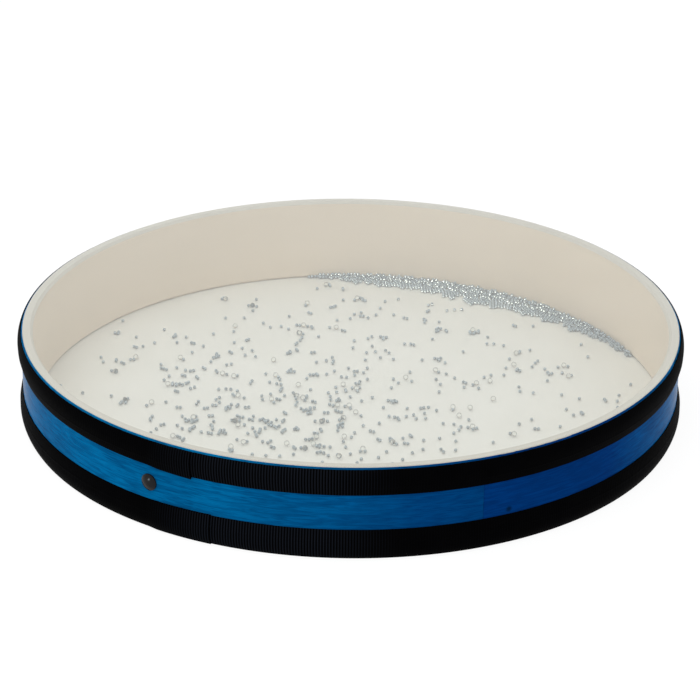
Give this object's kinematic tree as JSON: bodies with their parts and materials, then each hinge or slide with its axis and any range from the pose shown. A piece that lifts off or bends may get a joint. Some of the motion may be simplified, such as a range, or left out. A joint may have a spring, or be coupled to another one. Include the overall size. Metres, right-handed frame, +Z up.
{
  "type": "ocean drum",
  "caption": "Shallow round frame drum with a clear head, a cream head, black edge tapes, a filling plug, and loose steel balls and glass beads rolling between the heads.",
  "frame": {"origin": "on the drum's axis, at the bottom of the cream head, which is the plane that the drum rests on", "axes": "+Z up along the drum's axis, from the cream head to the clear head; -Y towards the front as pictured, where the filling plug sits a little to the left; +X to the right"},
  "size_m": [0.5053, 0.5054, 0.07],
  "materials": {
    "blue_wood": "blue stained veneer, satin lacquer",
    "core_wood": "plain plywood core, raw",
    "pale_wood": "pale cream painted veneer, matt",
    "clear_film": "clear polyester film, glossy",
    "cream_film": "cream polyester film, satin",
    "edge_tape": "black ribbed cloth tape",
    "plug_plastic": "black moulded plastic, glossy",
    "steel": "plain steel shot, satin",
    "bead_glass": "clear glass"
  },
  "bodies": {
    "drum": {"shell_ply_1": "blue_wood", "shell_ply_2": "core_wood", "shell_ply_3": "core_wood", "shell_ply_4": "core_wood", "shell_ply_5": "core_wood", "shell_ply_6": "pale_wood", "top_head": "clear_film", "bottom_head": "cream_film", "top_tape": "edge_tape", "bottom_tape": "edge_tape"},
    "plug": {"filling_plug": "plug_plastic"},
    "beads_centre": {"steel_balls_centre": "steel", "glass_beads_centre": "bead_glass"},
    "beads_inner": {"steel_balls_inner": "steel", "glass_beads_inner": "bead_glass"},
    "beads_middle": {"steel_balls_middle": "steel", "glass_beads_middle": "bead_glass"},
    "beads_outer": {"steel_balls_outer": "steel", "glass_beads_outer": "bead_glass"},
    "beads_wall": {"steel_balls_wall": "steel", "heap_balls_wall": "steel", "heap_balls_middle": "steel", "heap_balls_front": "steel", "heap_balls_foot": "steel", "heap_balls_upper": "steel", "glass_beads_wall": "bead_glass"}
  },
  "joints": [
    {"name": "plug_pull", "type": "slide", "parent": "drum", "child": "plug", "axis": [-0.5519, -0.8339, 0], "range_m": [0, 0.014]},
    {"name": "beads_fall", "type": "slide", "parent": "drum", "child": "beads_centre", "axis": [0, 0, 1], "range_m": [0, 0.064]},
    {"name": "inner_swirl", "type": "hinge", "parent": "beads_centre", "child": "beads_inner", "pos_m": [0, 0, 0.002], "axis": [0, 0, 1], "continuous": true},
    {"name": "middle_swirl", "type": "hinge", "parent": "beads_centre", "child": "beads_middle", "pos_m": [0, 0, 0.002], "axis": [0, 0, 1], "continuous": true},
    {"name": "outer_swirl", "type": "hinge", "parent": "beads_centre", "child": "beads_outer", "pos_m": [0, 0, 0.002], "axis": [0, 0, 1], "continuous": true},
    {"name": "wall_swirl", "type": "hinge", "parent": "beads_centre", "child": "beads_wall", "pos_m": [0, 0, 0.002], "axis": [0, 0, 1], "continuous": true}
  ]
}
